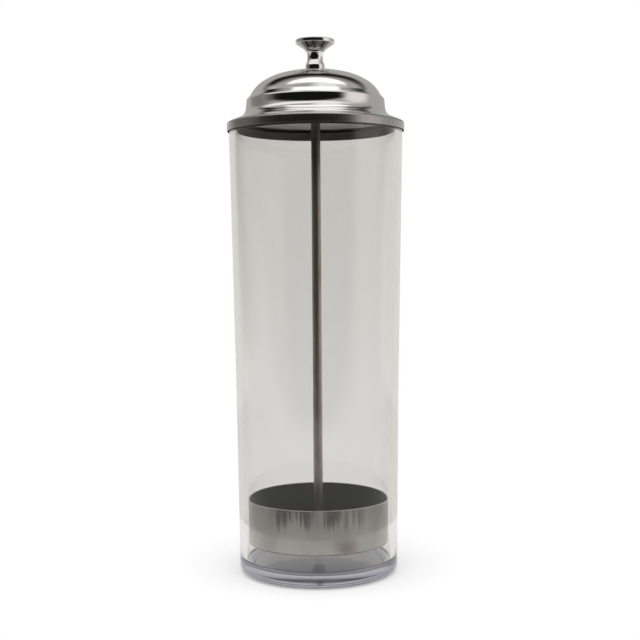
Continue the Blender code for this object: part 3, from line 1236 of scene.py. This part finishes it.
@dataclass
class Rod(Turned):
    """The lift rod: a drawn bar between two shoulders, with a threaded end at each side."""

    body = Body.ROD
    slot = Slot.ROD_STEEL
    node = "lift_rod"

    thread: float = 0.0020
    thread_root: float = 0.00172
    thread_sunk: float = 0.0001
    thread_steps: int = 48
    tooth: tuple[float, float, float] = (0.36, 0.54, 0.90)
    pitch: float = 0.0007
    upper_shoulder: float = 0.250756
    lower_shoulder: float = 0.0222
    chamfer: float = 0.0004
    shoulder_chamfer: float = 0.0002

    def outline(self) -> list[Point]:
        """Draw the rod's section without its threads, from its top down to its foot.

        Returns:
            The points.
        """
        low, high = self.box
        bar, root, chamfer = high.x, self.thread_root, self.shoulder_chamfer
        upper, lower = (
            [
                (0, end),
                (root - self.chamfer, end),
                (root, end + inwards * self.chamfer),
                (root, shoulder),
                (bar - chamfer, shoulder),
                (bar, shoulder + inwards * chamfer),
            ]
            for end, shoulder, inwards in (
                (high.z, self.upper_shoulder, -1), (low.z, self.lower_shoulder, 1)
            )
        )
        return [*upper, *reversed(lower)]

    def ridge(self, name: str, low: float, high: float) -> Piece:
        """Wind one thread's ridge between two heights.

        Args:
            name: The ridge's name.
            low: The height of its foot.
            high: The height of its top.

        Returns:
            The ridge, as one closed coil of a blunt tooth.
        """
        sunk = self.thread_root - self.thread_sunk
        radii = (sunk, self.thread, self.thread, sunk)
        heights = (low + self.pitch * share for share in (0, *self.tooth))
        piece = draw_outline(name, list(zip(radii, heights, strict=True)), closed=True)
        bpy.ops.mesh.edge_face_add()
        bpy.ops.object.mode_set(mode="OBJECT")
        modified(
            piece, "SCREW", screw_offset=self.pitch, steps=self.thread_steps,
            render_steps=self.thread_steps, iterations=math.floor((high - low) / self.pitch - 1),
        )
        open_mesh()
        bpy.ops.mesh.remove_doubles(threshold=WELD)
        bpy.ops.mesh.select_all(action="DESELECT")
        bpy.ops.mesh.select_mode(type="EDGE")
        bpy.ops.mesh.select_non_manifold()
        bpy.ops.mesh.edge_face_add()
        bpy.ops.mesh.select_mode(type="VERT")
        close_mesh()
        return piece

    def build(self) -> list[Piece]:
        """Turn the bar and join its threads' ridges to it.

        Returns:
            The piece, in a list.
        """
        low, high = self.box
        ridges = (
            self.ridge("lower_ridge", low.z + self.chamfer, self.lower_shoulder),
            self.ridge("upper_ridge", self.upper_shoulder, high.z - self.chamfer),
        )
        piece = turned(self.node, self.outline(), SMALL_SEGMENTS)
        for ridge in ridges:
            combined(piece, ridge, "UNION")
        open_mesh()
        bpy.ops.mesh.remove_doubles(threshold=WELD)
        bpy.ops.mesh.dissolve_degenerate(threshold=WELD)
        close_mesh()
        return [shaded(piece)]


@dataclass
class Tray(Turned):
    """The drawn steel cup that carries the straws."""

    body = Body.LID
    slot = Slot.TRAY_STEEL
    node = "tray_cup"

    sheet: float = 0.0005
    draft: float = 0.0001
    corner_round: float = 0.0014
    rod_hole: float = 0.0022
    broken_edge: Edge = (0.00014, 3)

    def outline(self) -> list[Point]:
        """Draw the cup's outer face, from its lip down and in to the rod's hole.

        Returns:
            The points.
        """
        low, high = self.box
        foot = Corner(high.x - self.draft, low.z, self.corner_round)
        return rounded(Corner(high.x, high.z), foot, Corner(self.rod_hole, low.z))


@dataclass
class Fasteners(Assembly):
    """The washers, nuts and cap nut that clamp the lid and the tray to the rod's threads."""

    body = Body.LID
    slot = Slot.ZINC_PLATE

    thread_bore: float = 0.00215
    clear_bore: float = 0.0022
    chamfer: float = 0.0005
    washer_chamfer: float = 0.0002
    cap_hexagon: float = 0.0026
    cap: float = 0.0032
    cap_round: float = 0.0022
    cap_end: float = 0.0014
    prism_depths: int = 3
    broken_edge: Edge = (0.00010, 2)

    def ring(self, node: str, bore: float, faces: Point, chamfer: float) -> Piece:
        """Turn a ring, chamfered round both faces.

        Args:
            node: The solid that it is for.
            bore: The radius of its bore.
            faces: The radii of its flat faces and of its side.
            chamfer: The height of its chamfers.

        Returns:
            The ring.
        """
        low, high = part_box(node)
        flat, side = faces
        upper = [(bore, high.z), (flat, high.z), (side, high.z - chamfer)]
        lower = [(side, low.z + chamfer), (flat, low.z), (bore, low.z)]
        return turned(node, [*upper, *lower], SMALL_SEGMENTS, closed=True)

    def washer(self, node: str) -> Piece:
        """Stamp the washer that stands for a solid."""
        rim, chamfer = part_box(node)[1].x, self.washer_chamfer
        return shaded(self.ring(node, self.clear_bore, (rim - chamfer, rim), chamfer))

    def six_sided(self, blank: Piece, flats: float) -> Piece:
        """Mill a turned blank's side to a hexagon.

        Args:
            blank: The turned blank.
            flats: The width across its flats.

        Returns:
            The piece.
        """
        low, high = (Vector(blank.bound_box[i]) for i in BOX_CORNERS)
        bpy.ops.mesh.primitive_cylinder_add(
            vertices=HEX_SIDES,
            radius=flats / 2 / math.cos(math.pi / HEX_SIDES),
            depth=(high.z - low.z) * self.prism_depths,
            location=(0, 0, (low.z + high.z) / 2),
        )
        prism = take_name(blank.name + "_flats")
        fix_place()
        return combined(blank, prism, "INTERSECT")

    def nut(self, node: str) -> Piece:
        """Make a hexagon nut, its corners chamfered on both faces.

        Args:
            node: The solid that it stands for.

        Returns:
            The nut.
        """
        flats, corner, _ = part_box(node)[1]
        faces = (corner - self.chamfer, corner + self.chamfer)
        piece = self.six_sided(self.ring(node, self.thread_bore, faces, self.chamfer), 2 * flats)
        return shaded(eased(piece, self.broken_edge, NUT_EDGE))

    def cap_nut(self) -> Piece:
        """Make the cap nut: six sides above, a rounded cap below, a blind threaded bore.

        Returns:
            The cap nut.
        """
        low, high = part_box("cap_nut")
        outer, inner = high.y + self.chamfer, high.y - self.chamfer
        hexagon_foot = high.z - self.cap_hexagon
        outline = rounded(
            Corner(0, low.z + self.cap_end),
            Corner(self.thread_bore, low.z + self.cap_end),
            Corner(self.thread_bore, high.z),
            Corner(inner, high.z),
            Corner(outer, high.z - self.chamfer),
            Corner(outer, hexagon_foot + self.chamfer),
            Corner(inner, hexagon_foot),
            Corner(self.cap, hexagon_foot),
            Corner(self.cap, low.z, self.cap_round),
            Corner(0, low.z),
        )
        blank = turned("cap_nut", outline, SMALL_SEGMENTS)
        return shaded(self.six_sided(blank, 2 * high.x))

    def build(self) -> list[Piece]:
        """Make the fasteners, from the lid's down to the tray's."""
        lid = [self.washer("lid_washer"), self.nut("lid_nut")]
        return [*lid, self.washer("tray_washer"), self.nut("tray_nut"), self.cap_nut()]


@dataclass(frozen=True)
class Panel:
    """An oval soft-edged area of the tent, by the direction in which the lid sees it.

    Angles are in degrees. The bearing is 0 towards the camera and 90 on its right.
    """

    bearing: float
    reach: float
    elevation: float
    rise: float
    soft: float
    level: Colour

    def share(self, pattern: Pattern) -> Output:
        """How much of the panel shows at a place on the tent.

        Args:
            pattern: The tent's material.

        Returns:
            The share, 1 on the panel and 0 past its soft edge.
        """
        turned = pattern.mapped(Rotation=(0, 0, math.radians(-self.bearing)))
        x, y, z = pattern.split(turned)
        off = pattern.maths("ARCTAN2", x, pattern.product(y, -1.0))
        up = pattern.maths("ARCTAN2", z, pattern.radius)
        half = (math.radians(self.reach), math.radians(self.rise))
        return pattern.oval((off, up), (0.0, math.radians(self.elevation)), half, self.soft)


@dataclass(frozen=True)
class Ceiling:
    """An oval area overhead as the lid sees it, in shares of its height above the lid.

    The place is 0 across on the axis and above 0 on the right, and above 0 deep behind it.
    """

    across: float
    half_width: float
    deep: float
    half_depth: float
    soft: float
    level: Colour
    least_height: ClassVar[float] = 1e-4

    def share(self, pattern: Pattern) -> Output:
        """How much of the area shows at a place on the tent.

        Args:
            pattern: The tent's material.

        Returns:
            The share, 1 on the area and 0 past its soft edge.
        """
        height = pattern.most(pattern.height, self.least_height)
        ways = (pattern.maths("DIVIDE", way, height) for way in pattern.parts[:2])
        half = (self.half_width, self.half_depth)
        return pattern.oval(ways, (self.across, self.deep), half, self.soft)


@dataclass
class Tent:
    """A cloth tent round the set and over its floor, seen only in what mirrors it."""

    radius: float = 1.7
    eye_height: float = 0.240
    skirt: float = 0.0004
    hole: float = 0.13
    segments: int = 64
    rings: int = 32
    cloth: Colour = (0.43, 0.425, 0.415)
    least_mirroring: float = 0.5
    areas: tuple[Panel | Ceiling, ...] = (
        Panel(0, 999, -56, 49, 0.10, (0.58, 0.575, 0.565)),
        Ceiling(-0.12, 1.27, 0.60, 0.30, 0.60, (0.012, 0.012, 0.011)),
        Panel(180, 64, -45, 46, 0.12, (0.87, 0.86, 0.84)),
        Panel(180, 95, -7, 15, 0.12, (0.93, 0.92, 0.90)),
        Panel(-103, 30, 8, 20, 0.35, (0.24, 0.235, 0.225)),
        Ceiling(0.30, 0.36, -0.50, 0.34, 0.40, (0.95, 0.94, 0.93)),
        Panel(-21, 88, 40, 12, 0.30, (1.02, 1.01, 1.00)),
        Ceiling(0.04, 0.60, -0.05, 0.20, 0.18, (1.35, 1.35, 1.34)),
        Panel(70, 24, 4, 27, 0.40, (0.90, 0.83, 0.81)),
        Panel(-20, 64, 8, 20, 0.22, (0.030, 0.030, 0.028)),
        Panel(-10, 63, 2, 29, 0.14, (0.008, 0.008, 0.008)),
    )

    def build(self) -> None:
        """Pitch the tent, its skirt lying on the floor up to a hole round the object."""
        bpy.ops.mesh.primitive_uv_sphere_add(
            segments=self.segments, ring_count=self.rings, radius=self.radius
        )
        piece = take_name("tent")
        ground = self.skirt - self.eye_height
        inwards = self.hole / math.sqrt(self.radius ** 2 - ground ** 2)
        open_mesh()
        bpy.ops.mesh.bisect(plane_co=(0, 0, ground), plane_no=(0, 0, 1), clear_inner=True)
        select_where(piece, lambda vertex: abs(vertex.co.z - ground) < WELD)
        bpy.ops.mesh.extrude_edges_move()
        bpy.ops.transform.resize(value=(inwards, inwards, 1))
        bpy.ops.object.mode_set(mode="OBJECT")
        piece.location = (0, 0, self.eye_height)
        shaded(piece)
        piece.data.materials.append(self.material())
        for ray in ("camera", "diffuse", "shadow", "volume_scatter"):
            setattr(piece, f"visible_{ray}", False)

    def material(self) -> bpy.types.Material:
        """The tent's cloth, which shows once a surface has mirrored the light.

        Returns:
            The material.
        """
        pattern = Pattern("tent_cloth")
        colour: object = self.cloth
        for area in self.areas:
            colour = pattern.blend(area.share(pattern), colour, area.level)
        pattern.tree.nodes.remove(pattern.shader)
        mirroring = pattern.add("LightPath", "Glossy Depth", {})
        pattern.show(
            pattern.maths("GREATER_THAN", mirroring, self.least_mirroring),
            pattern.add("BsdfTransparent", "BSDF", {}),
            pattern.add("Emission", "Emission", {"Color": colour}),
        )
        return pattern.material


@dataclass
class Studio:
    """The set: a pale floor, an overhead lamp, a tent round it and the camera."""

    floor_radius: float = 4.0
    floor_drop: float = 0.0002
    floor_colour: Colour = (0.86, 0.86, 0.86)
    floor_roughness: float = 0.9
    floor_lift: float = 0.33
    shadow: Ramp = Ramp(0.038, 0.20)
    world_level: float = 0.62
    shown_level: float = 1.0
    lamp_place: Place = (0, -0.35, 1.45)
    lamp_depth: float = 1.35
    lamp_width: float = 1.30
    lamp_power: float = 9.0
    camera_place: Place = (0.00154, -0.58448, 0.16131)
    camera_pitch: float = math.radians(3.087)
    camera_roll: float = math.radians(-0.41)
    camera_near: float = 0.01
    focal_pixels: float = 1131.84
    picture_pixels: float = 640.0
    sensor: float = 36.0

    def floor(self) -> None:
        """Lay the floor, which keeps the object's shadow and is white paper past it."""
        bpy.ops.mesh.primitive_circle_add(
            vertices=MEDIUM_SEGMENTS, radius=self.floor_radius, fill_type="NGON",
            location=(0, 0, -self.floor_drop),
        )
        piece = take_name("floor")
        fix_place()
        pattern = Pattern("floor_paper")
        seen = pattern.seen()
        pattern.fill(pattern.shader, {
            "Base Color": (*self.floor_colour, 1),
            "Roughness": self.floor_roughness,
            "Specular IOR Level": 0.0,
            "Emission Color": WHITE,
            "Emission Strength": pattern.product(seen, self.floor_lift),
        })
        far = pattern.spread(pattern.length(pattern.radius, pattern.height), self.shadow)
        white = pattern.add("Emission", "Emission", {"Color": WHITE})
        pattern.show(pattern.product(far, seen), pattern.shader.outputs["BSDF"], white)
        piece.data.materials.append(pattern.material)

    def world(self) -> None:
        """Light the set evenly, and show the background white."""
        world = bpy.data.worlds.new("studio")
        world.use_nodes = True
        bpy.context.scene.world = world
        wiring = Wiring(world.node_tree)
        light, colour = wiring.tree.nodes["Background"], {"Color": WHITE}
        wiring.fill(light, colour | {"Strength": self.world_level})
        shown = wiring.add("Background", 0, colour | {"Strength": self.shown_level})
        wiring.show(wiring.seen(), light.outputs[0], shown, "World Output")

    def lamp(self) -> None:
        """Hang the soft lamp over the set, a little towards the camera."""
        bpy.ops.object.light_add(type="AREA", location=self.lamp_place, rotation=(0, 0, 0))
        lamp = take_name("soft_lamp")
        lamp.data.shape = "RECTANGLE"
        lamp.data.size, lamp.data.size_y = self.lamp_width, self.lamp_depth
        lamp.data.energy = self.lamp_power
        lamp.visible_glossy = lamp.visible_transmission = False

    def camera(self) -> None:
        """Set the camera where the picture was taken."""
        bpy.ops.object.camera_add(location=self.camera_place)
        camera = take_name("camera")
        camera.data.sensor_width = self.sensor
        camera.data.lens = self.focal_pixels / self.picture_pixels * self.sensor
        camera.data.clip_start = self.camera_near
        camera.rotation_mode = "QUATERNION"
        level = Matrix.Rotation(QUARTER - self.camera_pitch, 4, "X")
        roll = Matrix.Rotation(self.camera_roll, 4, "Z")
        camera.rotation_quaternion = (level @ roll).to_quaternion()
        bpy.context.scene.camera = camera

    def build(self) -> None:
        """Set up the camera, the floor, the light and the tent."""
        self.camera()
        self.floor()
        self.world()
        self.lamp()
        Tent().build()
        bpy.context.scene.view_settings.view_transform = "Standard"
        LOG.info("studio: floor, lamp, tent and camera")


def main() -> None:
    """Build the studio and each sub-assembly in order."""
    logging.basicConfig(level=logging.INFO, format="%(name)s %(message)s")
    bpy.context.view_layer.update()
    Studio().build()
    dome = Dome()
    count = sum(
        assembly.dress(finish.make())
        for assembly, finish in (
            (Jar(), ClearAcrylic()),
            (dome, ChromePlate(worn_below=dome.rim_corner())),
            (PlugRing(), PRESSED_STEEL),
            (Knob(), KNOB_CHROME),
            (Rod(), DRAWN_STEEL),
            (Tray(), StainedSteel()),
            (Fasteners(), ZINC_PLATE),
        )
    )
    LOG.info("pieces: %d", count)


if __name__ == "__main__":
    main()
